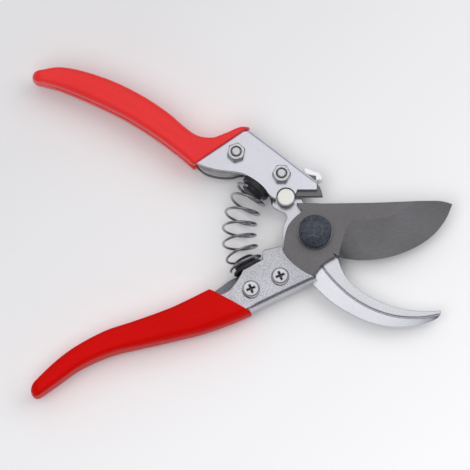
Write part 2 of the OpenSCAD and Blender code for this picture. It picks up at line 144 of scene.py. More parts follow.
HOOK_TANG = [(-13.4, 4), (-12, 6.8), (-12.4, 8.9), (-15, 10.4), (-18.2, 12.6), (-18.6, 17.2),
             (-28.6, 26.4), (-30.6, 27), (-33, 26.7), (-36, 25.9), (-41.5, 26.1), (-46.5, 27.6),
             (-50, 30.6), (-50, 33.5), (-45, 37), (-38, 38.4), (-32, 39.5), (-9, 22.6), (-6.2, 17.5)]
LEVER_ARM = [(-8.9, 15.9), (3.45, 16.05), (2.9, 18.4), (2.2, 20.2), (0.6, 22.2), (0.4, 25), (-4, 25.8),
             (-3.9, 21.4), (-6.4, 19.6)]
THUMB_TAB = [(-4.9, 27.6), (-4.3, 28.9), (2, 26.4), (3.3, 24.6), (3, 23.3), (0.7, 22.2), (0.6, 22.3),
             (0.4, 25.05), (-4.05, 25.85)]
LOWER_SPACER = [(-27.5, -31.2), (-31.5, -29.8), (-32.6, -26.5), (-31, -22), (-24, -15.8), (-17.5, -12.2),
                (-13.8, -12.6), (-9.3, -17.4), (-8.6, -22.2)]
UPPER_SPACER = [(-38.5, 33), (-36.5, 37.8), (-32, 38.8), (-10.5, 23.4), (-11, 21.2), (-16, 20.6),
                (-22, 22.6), (-36.5, 31.4)]

# ---- curves in the plane


def smooth(points, n=8):
    """Catmull-Rom curve through the points, with n steps between neighbours."""
    path = []
    last = len(points) - 1
    for i in range(last):
        p0, p1, p2, p3 = (Vector(points[k]) for k in (max(i - 1, 0), i, i + 1, min(i + 2, last)))
        for k in range(n):
            t = k / n
            path.append(0.5 * (2 * p1 + (p2 - p0) * t + (2 * p0 - 5 * p1 + 4 * p2 - p3) * t ** 2
                               + (3 * p1 - p0 - 3 * p2 + p3) * t ** 3))
    path.append(Vector(points[-1]))
    return path


def resample(path, n):
    """n points at equal distances along a path."""
    path = [Vector(p) for p in path]
    at = [0.0]
    for a, b in zip(path, path[1:]):
        at.append(at[-1] + (b - a).length)
    out = []
    k = 0
    for i in range(n):
        want = at[-1] * i / (n - 1)
        while k < len(path) - 2 and at[k + 1] < want:
            k += 1
        span = at[k + 1] - at[k]
        out.append(path[k].lerp(path[k + 1], (want - at[k]) / span if span else 0))
    return out


def shifted(path, by):
    """The path moved to its left by a distance."""
    out = []
    for i, p in enumerate(path):
        d = Vector(path[min(i + 1, len(path) - 1)]) - Vector(path[max(i - 1, 0)])
        out.append(Vector(p) + by * Vector((-d.y, d.x)).normalized())
    return out


def polar(r, degrees):
    """The point at a distance and an angle from the pivot."""
    a = math.radians(degrees)
    return Vector((r * math.cos(a), r * math.sin(a)))


def arc(centre, r, start, end, n):
    """n points on an arc, with its angles in degrees."""
    return [Vector(centre) + polar(r, start + (end - start) * i / (n - 1)) for i in range(n)]


def joined(*paths):
    """Paths end to end, without the doubled points where they meet."""
    out = []
    for path in paths:
        for p in path:
            p = Vector(p)
            if not out or (p - out[-1]).length > 1e-3:
                out.append(p)
    if (out[0] - out[-1]).length < 1e-3:
        out.pop()
    return out


# ---- meshes


def new_object(name, mesh):
    obj = bpy.data.objects.new(name, mesh)
    bpy.context.scene.collection.objects.link(obj)
    return obj


def tidy_mesh(mesh, sharp_degrees=32):
    """Merges doubled points, turns faces outward, and smooths all but the sharp edges."""
    bm = bmesh.new()
    bm.from_mesh(mesh)
    bmesh.ops.remove_doubles(bm, verts=bm.verts, dist=2e-6)
    bmesh.ops.recalc_face_normals(bm, faces=bm.faces)
    limit = math.radians(sharp_degrees)
    for face in bm.faces:
        face.smooth = True
    for edge in bm.edges:
        if len(edge.link_faces) == 2:
            a, b = edge.link_faces
            edge.smooth = edge.calc_face_angle(0) < limit and a.material_index == b.material_index
    bm.to_mesh(mesh)
    bm.free()


def solid(name, points, faces, sharp_degrees=32):
    """A mesh object from points in millimetres."""
    mesh = bpy.data.meshes.new(name)
    mesh.from_pydata([Vector(p) * MM for p in points], [], faces)
    tidy_mesh(mesh, sharp_degrees)
    return new_object(name, mesh)


def loft(name, rings, closed=False, sharp_degrees=32):
    """Skin over rings with equal numbers of points; the ends are filled unless it closes on itself."""
    n = len(rings[0])
    count = len(rings)
    points = [p for ring in rings for p in ring]
    faces = []
    for i in range(count if closed else count - 1):
        for j in range(n):
            here, there = i * n, (i + 1) % count * n
            faces.append((here + j, here + (j + 1) % n, there + (j + 1) % n, there + j))
    if not closed:
        faces.append(tuple(range(n - 1, -1, -1)))
        faces.append(tuple(range((count - 1) * n, count * n)))
    return solid(name, points, faces, sharp_degrees)


def revolve(name, profile, at=(0, 0), z=0.0, steps=72, sharp_degrees=32):
    """A profile of (radius, height) turned round a vertical axis. It ends on the axis or is a loop."""
    rings = []
    for i in range(steps):
        a = 2 * math.pi * i / steps
        rings.append([(at[0] + r * math.cos(a), at[1] + r * math.sin(a), z + h) for r, h in profile])
    return loft(name, rings, closed=True, sharp_degrees=sharp_degrees)


def plate(name, outline, z, holes=(), edge=0.2):
    """A flat plate with rounded edges. holes are (centre, radius)."""
    curve = bpy.data.curves.new(name, "CURVE")
    curve.dimensions = "2D"
    curve.fill_mode = "BOTH"
    curve.extrude = ((z[1] - z[0]) / 2 - edge) * MM
    curve.bevel_depth = edge * MM
    curve.bevel_resolution = 2
    curve.offset = -edge * MM
    for loop in [outline] + [arc(c, r, 0, 355, 72) for c, r in holes]:
        spline = curve.splines.new("POLY")
        spline.points.add(len(loop) - 1)
        for point, p in zip(spline.points, loop):
            point.co = (p[0] * MM, p[1] * MM, 0, 1)
        spline.use_cyclic_u = True
    maker = new_object(name + "_curve", curve)
    bpy.context.view_layer.update()
    mesh = bpy.data.meshes.new_from_object(maker.evaluated_get(bpy.context.evaluated_depsgraph_get()))
    bpy.data.objects.remove(maker)
    mesh.transform(Matrix.Translation((0, 0, (z[0] + z[1]) / 2 * MM)))
    tidy_mesh(mesh)
    return new_object(name, mesh)


def prism(name, outline, z):
    """A sharp-edged block, for cutting."""
    low = [(p[0], p[1], z[0]) for p in outline]
    high = [(p[0], p[1], z[1]) for p in outline]
    return loft(name, [low, high])


def combine(obj, other, how, sharp_degrees=32):
    """obj cut by, joined to or met with another object, which goes away."""
    modifier = obj.modifiers.new("combine", "BOOLEAN")
    modifier.operation = how
    modifier.solver = "EXACT"
    modifier.object = other
    bpy.context.view_layer.update()
    mesh = bpy.data.meshes.new_from_object(obj.evaluated_get(bpy.context.evaluated_depsgraph_get()))
    obj.modifiers.clear()
    obj.data = mesh
    bpy.data.objects.remove(other)
    tidy_mesh(mesh, sharp_degrees)
    return obj


def cut(obj, other, sharp_degrees=32):
    return combine(obj, other, "DIFFERENCE", sharp_degrees)


def merge(name, objects):
    """Several objects as one, with each one's own faces kept apart."""
    bm = bmesh.new()
    for obj in objects:
        bm.from_mesh(obj.data)
        bpy.data.objects.remove(obj)
    mesh = bpy.data.meshes.new(name)
    bm.to_mesh(mesh)
    bm.free()
    return new_object(name, mesh)


def slope_cutter(name, inner, outer, z_inner, z_outer, top, step=0.0):
    """A block whose underside slopes down from inner to outer. step sinks the first quarter of it."""
    rings = []
    for i, (a, b) in enumerate(zip(inner, outer)):
        out = b + (b - a).normalized() * 2
        sunk = z_inner - step * max(0.0, 1 - 4 * i / len(inner))
        fall = (z_outer - sunk) / max((b - a).length, 1.5)
        z_out = z_outer + fall * 2
        rings.append([(a.x, a.y, sunk), (out.x, out.y, z_out), (out.x, out.y, top), (a.x, a.y, top)])
    return loft(name, rings)


def groove_cutter(name, path, half_width, low, high):
    """A bar with a narrowed bottom that follows a path."""
    left, right = shifted(path, half_width), shifted(path, -half_width)
    rings = []
    for p, a, b in zip(path, left, right):
        deep_a, deep_b = p.lerp(a, 0.4), p.lerp(b, 0.4)
        rings.append([(a.x, a.y, high), (a.x, a.y, low + 0.5), (deep_a.x, deep_a.y, low),
                      (deep_b.x, deep_b.y, low), (b.x, b.y, low + 0.5), (b.x, b.y, high)])
    return loft(name, rings)


def rounded_section(corners, steps=5):
    """A closed loop through (u, v, radius) corners, each rounded with an arc of steps + 1 points."""
    out = []
    n = len(corners)
    for i, (u, v, radius) in enumerate(corners):
        here = Vector((u, v))
        before = (Vector(corners[i - 1][:2]) - here)
        after = (Vector(corners[(i + 1) % n][:2]) - here)
        half = before.angle(after) / 2
        reach = min(radius / math.tan(half), before.length * 0.49, after.length * 0.49)
        a = here + before.normalized() * reach
        b = here + after.normalized() * reach
        for k in range(steps + 1):
            t = k / steps
            out.append((1 - t) ** 2 * a + 2 * t * (1 - t) * here + t * t * b)
    return out


# ---- materials


def painted_edge_shade_and_highlight(nodes, links, width, patches):
    """A mask that is 1 along the edges, broken up by a wide noise, that paints the edge colour in: painted
    shade where it is darker, a painted highlight where it is lighter. width is in millimetres.
    """
    rounded = nodes.new("ShaderNodeBevel")
    rounded.samples = 4
    rounded.inputs["Radius"].default_value = width * MM
    geometry = nodes.new("ShaderNodeNewGeometry")
    along = nodes.new("ShaderNodeVectorMath")
    along.operation = "DOT_PRODUCT"
    links.new(rounded.outputs["Normal"], along.inputs[0])
    links.new(geometry.outputs["Normal"], along.inputs[1])
    bent = nodes.new("ShaderNodeMapRange")
    bent.inputs["From Min"].default_value = 0.995
    bent.inputs["From Max"].default_value = 0.93
    links.new(along.outputs["Value"], bent.inputs["Value"])
    uneven = nodes.new("ShaderNodeMapRange")
    uneven.inputs["From Min"].default_value = 0.3
    uneven.inputs["From Max"].default_value = 0.6
    uneven.inputs["To Min"].default_value = 0.55
    links.new(patches, uneven.inputs["Value"])
    mask = nodes.new("ShaderNodeMath")
    mask.operation = "MULTIPLY"
    links.new(bent.outputs["Result"], mask.inputs[0])
    links.new(uneven.outputs["Result"], mask.inputs[1])
    return mask.outputs["Value"]


def material(name, dark, light, rough, metal=0.0, coat=0.0, coat_rough=0.1, grain=(250, 250, 250),
             bump=0.05, turn=0.0, rough_spread=0.08, shine=0.5, edge=None, edge_width=0.35):
    """A finish with a fine grain in colour, roughness and surface, and its edges painted another colour:
    painted shade where that colour is darker, a painted highlight where it is lighter.
    """
    mat = bpy.data.materials.new(name)
    mat.use_nodes = True
    nodes, links = mat.node_tree.nodes, mat.node_tree.links
    shader = nodes["Principled BSDF"]
    shader.inputs["Metallic"].default_value = metal
    shader.inputs["Coat Weight"].default_value = coat
    shader.inputs["Specular IOR Level"].default_value = shine
    shader.inputs["Coat Roughness"].default_value = coat_rough
    place = nodes.new("ShaderNodeTexCoord")
    mapping = nodes.new("ShaderNodeMapping")
    mapping.inputs["Scale"].default_value = grain
    mapping.inputs["Rotation"].default_value = (0, 0, math.radians(turn))
    links.new(place.outputs["Object"], mapping.inputs["Vector"])
    fine = nodes.new("ShaderNodeTexNoise")
    fine.inputs["Scale"].default_value = 8.0
    fine.inputs["Detail"].default_value = 4.0
    links.new(mapping.outputs["Vector"], fine.inputs["Vector"])
    wide = nodes.new("ShaderNodeTexNoise")
    wide.inputs["Scale"].default_value = 45.0
    wide.inputs["Detail"].default_value = 3.0
    links.new(place.outputs["Object"], wide.inputs["Vector"])
    blend = nodes.new("ShaderNodeMath")
    blend.operation = "MULTIPLY_ADD"
    blend.inputs[1].default_value = 0.6
    links.new(fine.outputs["Fac"], blend.inputs[0])
    share = nodes.new("ShaderNodeMath")
    share.operation = "MULTIPLY"
    share.inputs[1].default_value = 0.4
    links.new(wide.outputs["Fac"], share.inputs[0])
    links.new(share.outputs["Value"], blend.inputs[2])
    ramp = nodes.new("ShaderNodeValToRGB")
    ramp.color_ramp.elements[0].position = 0.35
    ramp.color_ramp.elements[0].color = (*dark, 1)
    ramp.color_ramp.elements[1].position = 0.65
    ramp.color_ramp.elements[1].color = (*light, 1)
    links.new(blend.outputs["Value"], ramp.inputs["Fac"])
    # Paints shade along the edges where the edge colour is darker and a highlight where it is lighter;
    # without an edge colour the light tone is painted in.
    edge_shade_and_highlight = painted_edge_shade_and_highlight(nodes, links, edge_width, wide.outputs["Fac"])
    colour = nodes.new("ShaderNodeMix")
    colour.data_type = "RGBA"
    colour.inputs["B"].default_value = (*(edge or light), 1)
    links.new(edge_shade_and_highlight, colour.inputs["Factor"])
    links.new(ramp.outputs["Color"], colour.inputs["A"])
    links.new(colour.outputs["Result"], shader.inputs["Base Color"])
    spread = nodes.new("ShaderNodeMapRange")
    spread.inputs["To Min"].default_value = rough - rough_spread / 2
    spread.inputs["To Max"].default_value = rough + rough_spread / 2
    links.new(blend.outputs["Value"], spread.inputs["Value"])
    links.new(spread.outputs["Result"], shader.inputs["Roughness"])
    relief = nodes.new("ShaderNodeBump")
    relief.inputs["Strength"].default_value = bump
    relief.inputs["Distance"].default_value = 0.0002
    links.new(fine.outputs["Fac"], relief.inputs["Height"])
    links.new(relief.outputs["Normal"], shader.inputs["Normal"])
    return mat


# Each finish has a name, the dark and the light tone of its grain, and a roughness
# One red vinyl in two copies: the upper grip's is lighter with more shine and coat, a painted sheen; the
# lower grip's is darker and duller, painted shade.
RED_VINYL_LIT = material("red_vinyl_lit", (0.74, 0.022, 0.023), (0.86, 0.03, 0.031), 0.34, bump=0.03,
                     shine=0.12, coat=0.3, coat_rough=0.16, edge=(0.52, 0.01, 0.01), edge_width=0.8)
RED_VINYL_SHADED = material("red_vinyl_shaded", (0.56, 0.002, 0.001), (0.64, 0.003, 0.002), 0.34, bump=0.03,
                     shine=0.03, coat=0.06, coat_rough=0.16, edge=(0.4, 0.004, 0.004), edge_width=0.8)
PRESSED = material("pressed_steel", (0.62, 0.62, 0.68), (0.76, 0.76, 0.84), 0.2, metal=0.95, bump=0.05,
                   edge=(0.2, 0.2, 0.22))
# A darker, more mottled copy of the pressed steel for the lower handle: the mottling is tone, the darkness
# is painted shade.
PRESSED_SHADED = material("pressed_steel_shaded", (0.36, 0.36, 0.385), (0.68, 0.68, 0.74), 0.2, metal=0.95,
                       bump=0.06, edge=(0.14, 0.14, 0.16))
# Faces inside the channels are painted dark, as painted shade in the hollow of the channel.
INSIDE_SHADE = material("channel_inside_shade", (0.14, 0.14, 0.155), (0.28, 0.28, 0.31), 0.4, metal=0.9, bump=0.12,
                  edge=(0.05, 0.05, 0.055))
HOOK_STEEL = material("hook_steel", (0.74, 0.75, 0.8), (0.86, 0.87, 0.92), 0.2, metal=0.95, bump=0.05,
                      edge=(0.2, 0.2, 0.22))
HOOK_LAND = material("hook_land", (0.58, 0.59, 0.63), (0.76, 0.77, 0.82), 0.24, metal=0.95, bump=0.08,
                     edge=(0.14, 0.14, 0.155))
CARBON = material("carbon_steel", (0.145, 0.139, 0.144), (0.195, 0.187, 0.194), 0.38, metal=0.7, bump=0.08,
                  edge=(0.03, 0.03, 0.032))
# The ground bevel's lighter edge is a painted highlight along the grind line.
GROUND = material("ground_bevel", (0.13, 0.128, 0.133), (0.215, 0.211, 0.22), 0.34, metal=0.75,
                  grain=(40, 900, 300), turn=20, bump=0.12, edge=(0.32, 0.32, 0.33), edge_width=0.25)
CAP_BLACK = material("cap_black", (0.015, 0.018, 0.025), (0.075, 0.085, 0.11), 0.36, grain=(110, 110, 110),
                     bump=0.3, shine=0.35)
# The seats' lighter edge is a painted highlight on their rims.
SEAT_BLACK = material("seat_black", (0.012, 0.012, 0.014), (0.03, 0.03, 0.034), 0.42, metal=0.3,
                      edge=(0.1, 0.1, 0.1))
# The zinc's broad near-black edge is painted shade round the screws and nuts.
ZINC = material("bright_zinc", (0.5, 0.5, 0.53), (0.76, 0.76, 0.8), 0.15, metal=0.97, bump=0.05,
                edge=(0.02, 0.02, 0.024), edge_width=0.8)
# A darker zinc for the nut sides, nut bores and the washer under the pivot cap: its darkness is painted
# shade.
WASHER = material("washer_and_side_shade", (0.12, 0.12, 0.125), (0.42, 0.42, 0.44), 0.25, metal=0.9, bump=0.08,
                  edge=(0.04, 0.04, 0.04))
# The cross recesses are painted dark, as painted shade in the slots.
RECESS = material("recess_painted_shade", (0.04, 0.04, 0.044), (0.14, 0.14, 0.15), 0.4, metal=0.7, bump=0.1)
TANG = material("dull_tang", (0.36, 0.36, 0.37), (0.6, 0.6, 0.61), 0.6, metal=0.15,
                grain=(60, 300, 300), bump=0.1, edge=(0.05, 0.05, 0.05), edge_width=0.4)
WIRE = material("spring_wire", (0.3, 0.3, 0.32), (0.5, 0.5, 0.53), 0.2, metal=1.0, bump=0.03)
LEVER_STEEL = material("lever_steel", (0.1, 0.1, 0.105), (0.2, 0.2, 0.21), 0.3, metal=0.85, bump=0.08,
                       edge=(0.03, 0.03, 0.03))
PALE = material("pale_plastic", (0.74, 0.73, 0.67), (0.84, 0.83, 0.78), 0.3, bump=0.04,
                edge=(0.5, 0.49, 0.45))
TAB_PALE = material("tab_pale", (0.82, 0.82, 0.84), (0.92, 0.92, 0.93), 0.28, bump=0.04,
                    edge=(0.6, 0.6, 0.62))


def piece(obj, node, body, slot_name, *materials, weighted=True):
    """Gives a finished mesh its materials, in the order of its face indices, and ties it to the frame."""
    indices = [p.material_index for p in obj.data.polygons]
    obj.data.materials.clear()
    for m in materials:
        obj.data.materials.append(m)
    for polygon, index in zip(obj.data.polygons, indices):
        polygon.material_index = min(index, len(materials) - 1)
    if weighted:
        modifier = obj.modifiers.new("even_shading", "WEIGHTED_NORMAL")
        modifier.keep_sharp = True
    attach(obj, body)
    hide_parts(node)
    return obj


def paint_index(obj, index):
    """Gives every face one material index, which a cutter hands on to the faces it makes."""
    for polygon in obj.data.polygons:
        polygon.material_index = index


# ---- blade half


def make_blade():
    outline = joined(smooth(BLADE_SPINE, 10), smooth(BLADE_EDGE, 12), smooth(BLADE_HEEL, 10), BLADE_TANG,
                     smooth(BLADE_EYE, 10))
    holes = [((0, 0), PIVOT_HOLE)] + [(p, SCREW_HOLE) for p in LOWER_SCREWS]
    obj = plate("blade", outline, BLADE, holes, edge=0.12)
    edge = resample(list(reversed(smooth(BLADE_EDGE, 12))), 90) + PAST_TIP
    inner = resample(smooth(GRIND_LINE, 12), 90) + PAST_SPINE
    cutter = slope_cutter("grind", inner, edge, BLADE[1] + 0.01, BLADE[0] + 0.35, BLADE[1] + 2, step=0.9)
    paint_index(cutter, 1)
    cut(obj, cutter)
    return piece(obj, "blade", "blade_half", "blade_steel", CARBON, GROUND)


def channel(name, stations, outer, inner, bend=2.4):
    """A pressed channel. Each station is (web, front lip, back lip) seen from above."""
    rings = []
    for web, front, back in stations:
        u_front = (web - front).normalized()
        u_back = (web - back).normalized()
        ring = []

        def add(base, direction, distance, z):
            spot = base + direction * distance
            ring.append((spot.x, spot.y, z))

        add(front, u_front, 0.0, outer[1] - 0.2)
        add(front, u_front, 0.2, outer[1])
        for k in range(7):
            a = math.radians(90 - 15 * k)
            add(web, u_front, bend * (math.cos(a) - 1), outer[1] - bend * (1 - math.sin(a)))
        for k in range(7):
            a = math.radians(-15 * k)
            add(web, u_back, bend * (math.cos(a) - 1), outer[0] + bend * (1 + math.sin(a)))
        add(back, u_back, 0.2, outer[0])
        add(back, u_back, 0.0, outer[0] + 0.2)
        add(back, u_back, 0.0, inner[0])
        add(web, u_back, -WALL - 0.4, inner[0])
        add(web, u_back, -WALL, inner[0] + 0.4)
        add(web, u_front, -WALL, inner[1] - 0.4)
        add(web, u_front, -WALL - 0.4, inner[1])
        add(front, u_front, 0.0, inner[1])
        rings.append(ring)
    obj = loft(name, rings, sharp_degrees=34)
    # Faces that look into the channel take the second material, painted shade.
    for polygon in obj.data.polygons:
        z = polygon.center.z / MM
        faces_in = (polygon.normal.z < -0.5 and z > MID_Z) or (polygon.normal.z > 0.5 and z < MID_Z)
        web_inside = inner[0] < z < inner[1] and abs(polygon.normal.z) < 0.5
        polygon.material_index = 1 if faces_in or (web_inside and is_web_inside(polygon, stations)) else 0
    return obj


def is_web_inside(polygon, stations):
    """True where a wall's face looks from the web towards the open side."""
    spot = polygon.center.xy / MM
    web, front, _ = min(stations, key=lambda row: min((row[0] - spot).length, (row[1] - spot).length))
    return polygon.normal.xy.dot(front - web) > 0 and (web - spot).length < WALL * 1.7


def matched_stations(web_parts, front_parts, back_parts, counts):
    """Matches points along three paths, part by part."""
    out = []
    for web, front, back, n in zip(web_parts, front_parts, back_parts, counts):
        rows = list(zip(resample(web, n), resample(front, n), resample(back, n)))
        out.extend(rows if not out else rows[1:])
    return out


def make_lower_handle():
    seat_out = polar(SEAT_OUTER_R, LOWER_SEAT_ANGLE)
    seat_in = polar(SEAT_INNER_R, LOWER_SEAT_ANGLE)
    web_line = [(-27, -34.2), (-14, -27.8), (-0.8, -21.5)]
    web_head = resample(web_line, 100)
    corner = [seat_in, (-22.6, -9.6), (-21.9, -8), (-14.6, -6.4)]
    front_arc = smooth([(-14.6, -6.4), (-12.6, -10.6), (-9.4, -13.9), (-5, -17.3), (0.2, -19.9)], 10)
    scoop = smooth(LOWER_SCOOP, 8)
    back_lip = smooth(LOWER_BACK_LIP, 6)
    rows = matched_stations(
        [smooth(LOWER_WEB), web_head[:18], web_head[17:45], web_head[44:68], web_head[67:]],
        [smooth(LOWER_LIP), scoop, [scoop[-1], seat_in], corner, front_arc],
        [smooth(LOWER_LIP), back_lip, [seat_out, seat_in], corner, front_arc],
        [60, 24, 14, 24, 28])
    obj = channel("lower_handle", rows, LOWER_OUT, LOWER_IN)
    cut(obj, prism("hook_way", [(-3.2, -19.4), (-5.2, -30), (8, -30), (8, -12), (-3, -12)],
                   (LOWER_IN[0], MID_Z + 0.02)), 34)
    return piece(obj, "lower_handle", "blade_half", "handle_steel", PRESSED_SHADED, INSIDE_SHADE)


def grip_section(half, web_r, lip_r, mouth, depth):
    """Corners of a sleeve's section: crowned faces, rounded edges, and a seam on the open side."""
    web_top = GRIP_HALF - 0.55
    lip_top = GRIP_HALF - 0.7
    web_r = min(web_r, half * 0.9)
    lip_r = min(lip_r, half * 0.8)
    crown_r = half * 0.6
    seam = -half + depth
    return [(half, web_top, web_r), (half, -web_top, web_r), (0, -GRIP_HALF, crown_r),
            (-half, -lip_top, lip_r), (-half, -mouth, 0.8), (seam, -mouth * 0.5, 0.3),
            (seam, mouth * 0.5, 0.3), (-half, mouth, 0.8), (-half, lip_top, lip_r), (0, GRIP_HALF, crown_r)]


def dipped_grip(name, web, lip, side, web_r, lip_r):
    """A dipped sleeve over a channel, with a rounded tail and a shallow seam that opens near the head."""
    n = 110
    tail_steps = 10
    reach = 4.3
    tail_height = 0.86
    web_path = shifted(resample(smooth(web), n), side * VINYL)
    lip_path = shifted(resample(smooth(lip), n), -side * VINYL)
    tail_dir = (web_path[0] - web_path[1] + lip_path[0] - lip_path[1]).normalized()
    rings = []
    for i in range(-tail_steps, n - 1):
        k = max(i, 0)
        swing = math.radians(87 * -i / tail_steps) if i < 0 else 0
        size = math.cos(swing) ** 0.9
        middle = (web_path[k] + lip_path[k]) / 2 + tail_dir * reach * math.sin(swing)
        across = (web_path[k] - lip_path[k]) / 2
        half = across.length
        u = across.normalized()
        tall = tail_height + (1 - tail_height) * min(1.0, k / 30)
        opened = min(1.0, max(0.0, (i - n + 14) / 12)) ** 2
        seam = min(1.0, max(0.0, (i - 4) / 16))
        depth = 0.05 + 0.75 * seam + opened * min(4.0, half * 0.6)
        corners = grip_section(half, web_r, lip_r, 0.9 + 1.1 * opened, depth)
        ring = []
        for p in rounded_section(corners, 6):
            at = middle + u * p.x * size
            ring.append((at.x, at.y, MID_Z + p.y * size * tall))
        rings.append(ring)
    lead = (web_path[-1] - web_path[-2] + lip_path[-1] - lip_path[-2]).normalized()
    last = [Vector(p) for p in rings[-1]]
    centre = sum(last, Vector()) / len(last)
    for step, inset in ((0.3, 0.12), (0.45, 0.4), (0.5, 0.8)):
        ahead = Vector((lead.x, lead.y, 0)) * step
        rings.append([tuple(p + (centre - p).normalized() * inset + ahead) for p in last])
    return loft(name, rings, sharp_degrees=50)


def pan_screw(name, at, z, shank):
    """A pan head with a cross recess, its shank pointing down."""
    r = HEAD_D / 2
    profile = [(0, -shank), (SCREW_D / 2 - 0.3, -shank), (SCREW_D / 2, -shank + 0.3), (SCREW_D / 2, 0),
               (r - 0.15, 0), (r, 0.15), (r, HEAD_H * 0.4)]
    for k in range(1, 9):
        a = math.radians(90 * k / 8)
        profile.append((r - 0.9 + 0.9 * math.cos(a) - 0.25 * k / 8,
                        HEAD_H * 0.4 + HEAD_H * 0.5 * math.sin(a)))
    profile += [(r * 0.4, HEAD_H * 0.98), (0, HEAD_H)]
    obj = revolve(name, profile, steps=64)
    for turn in CROSS_TURNS:
        along, side = polar(1, turn), polar(1, turn + 90)
        top, bottom = [], []
        for s, w in ((-1, -1), (1, -1), (1, 1), (-1, 1)):
            wide = along * s * CROSS_MOUTH[0] + side * w * CROSS_MOUTH[1]
            deep = along * s * CROSS_FLOOR[0] + side * w * CROSS_FLOOR[1]
            top.append((wide.x, wide.y, HEAD_H + 0.1))
            bottom.append((deep.x, deep.y, HEAD_H - CROSS_DEPTH))
        slot_cutter = loft("cross", [bottom, top])
        # The slot faces take the second material, painted shade.
        paint_index(slot_cutter, 1)
        cut(obj, slot_cutter)
    obj.data.transform(Matrix.Translation(Vector((at[0], at[1], z)) * MM))
    return obj


def hex_nut(name, at, z, af, h, bore_r, turn=0.0):
    """A hexagon nut, chamfered and countersunk on both faces. Its sides and bore have the second material,
    painted darker as painted shade.
    """
    corner = af / 2 / math.cos(math.radians(30))
    hexagon = [polar(corner, 60 * i + turn) for i in range(6)]
    body = prism(name, hexagon, (0, h))
    c = 0.09 * af
    barrel = [(0, -0.01), (af / 2 - 0.05, -0.01), (corner + 0.1, c * 0.62), (corner + 0.1, h - c * 0.62),
              (af / 2 - 0.05, h + 0.01), (0, h + 0.01)]
    combine(body, revolve("barrel", barrel, steps=96), "INTERSECT")
    sink = 0.35
    bore = [(0, -0.1), (bore_r + sink, -0.1), (bore_r + sink, 0.0), (bore_r, sink), (bore_r, h - sink),
            (bore_r + sink, h), (bore_r + sink, h + 0.1), (0, h + 0.1)]
    cut(body, revolve("bore", bore, steps=64))
    for polygon in body.data.polygons:
        polygon.material_index = 0 if abs(polygon.normal.z) > 0.95 else 1
    body.data.transform(Matrix.Translation(Vector((at[0], at[1], z)) * MM))
    return body


def spring_seat(name, degrees, side, flange, start=0.0):
    """A disc on a channel's lips with a domed post inside the coils; side is 1 towards larger angles."""
    post, height, rim = 4.9, 5.3, 6.6
    profile = [(0, start), (rim - 0.3, start), (rim, start + 0.3), (rim, flange - 0.3),
               (rim - 0.3, flange), (post + 0.7, flange), (post + 0.2, flange + 0.15), (post, flange + 0.6)]
    for k in range(7):
        a = math.radians(15 * k)
        profile.append((post - 1.6 + 1.6 * math.cos(a), height - 1.6 + 1.6 * math.sin(a)))
    profile.append((0, height))
    obj = revolve(name, profile, steps=64)
    place = (Matrix.Rotation(math.radians(degrees), 4, "Z")
             @ Matrix.Translation(Vector((SPRING_R, 0, MID_Z)) * MM)
             @ Matrix.Rotation(math.radians(-90 * side), 4, "X"))
    obj.data.transform(place)
    tidy_mesh(obj.data)
    return obj


def make_spring():
    """A coil bent round the pivot, so that its turns fan out. Its ends lie flat on the seats."""
    start = UPPER_SEAT_ANGLE + math.degrees((UPPER_FLANGE + WIRE_D / 2) / (SPRING_R - COIL_R))
    end = LOWER_SEAT_ANGLE - math.degrees((LOWER_FLANGE + WIRE_D / 2) / (SPRING_R - COIL_R))
    dead, dead_rise, phase = 0.5, 0.03, 0.2
    steps, sides = 44, 10

    def rise(t):
        if t < dead:
            return dead_rise * t / dead
        if t > TURNS - dead:
            return 1 - dead_rise * (TURNS - t) / dead
        return dead_rise + (1 - 2 * dead_rise) * (t - dead) / (TURNS - 2 * dead)

    path = []
    for i in range(int(TURNS * steps) + 1):
        t = i / steps
        a = math.radians(start + (end - start) * rise(t))
        turned = 2 * math.pi * (t - phase)
        r = SPRING_R + COIL_R * math.cos(turned)
        path.append(Vector((r * math.cos(a), r * math.sin(a), MID_Z - COIL_R * math.sin(turned))))
    rings = []
    for i, p in enumerate(path):
        along = (path[min(i + 1, len(path) - 1)] - path[max(i - 1, 0)]).normalized()
        heart = Vector((p.x, p.y, 0)).normalized() * SPRING_R + Vector((0, 0, MID_Z))
        side = along.cross(p - heart).normalized()
        up = side.cross(along)
        wire_r = WIRE_D / 2 * (0.55 if i in (0, len(path) - 1) else 1)
        rings.append([p + wire_r * (math.cos(2 * math.pi * j / sides) * up
                                    + math.sin(2 * math.pi * j / sides) * side) for j in range(sides)])
    obj = loft("spring", rings, sharp_degrees=60)
    obj.data.materials.append(WIRE)
    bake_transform(obj, "blade_half", "hook_half", start=polar(SPRING_R * MM, end).to_3d(),
             end=polar(SPRING_R * MM, start).to_3d())
    even = obj.data.attributes["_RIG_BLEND"]
    for vertex, value in zip(obj.data.vertices, even.data):
        a = math.degrees(math.atan2(vertex.co.y, vertex.co.x)) % 360
        value.value = min(1.0, max(0.0, (end - a) / (end - start)))
    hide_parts("spring")
    return obj


# ---- hook half


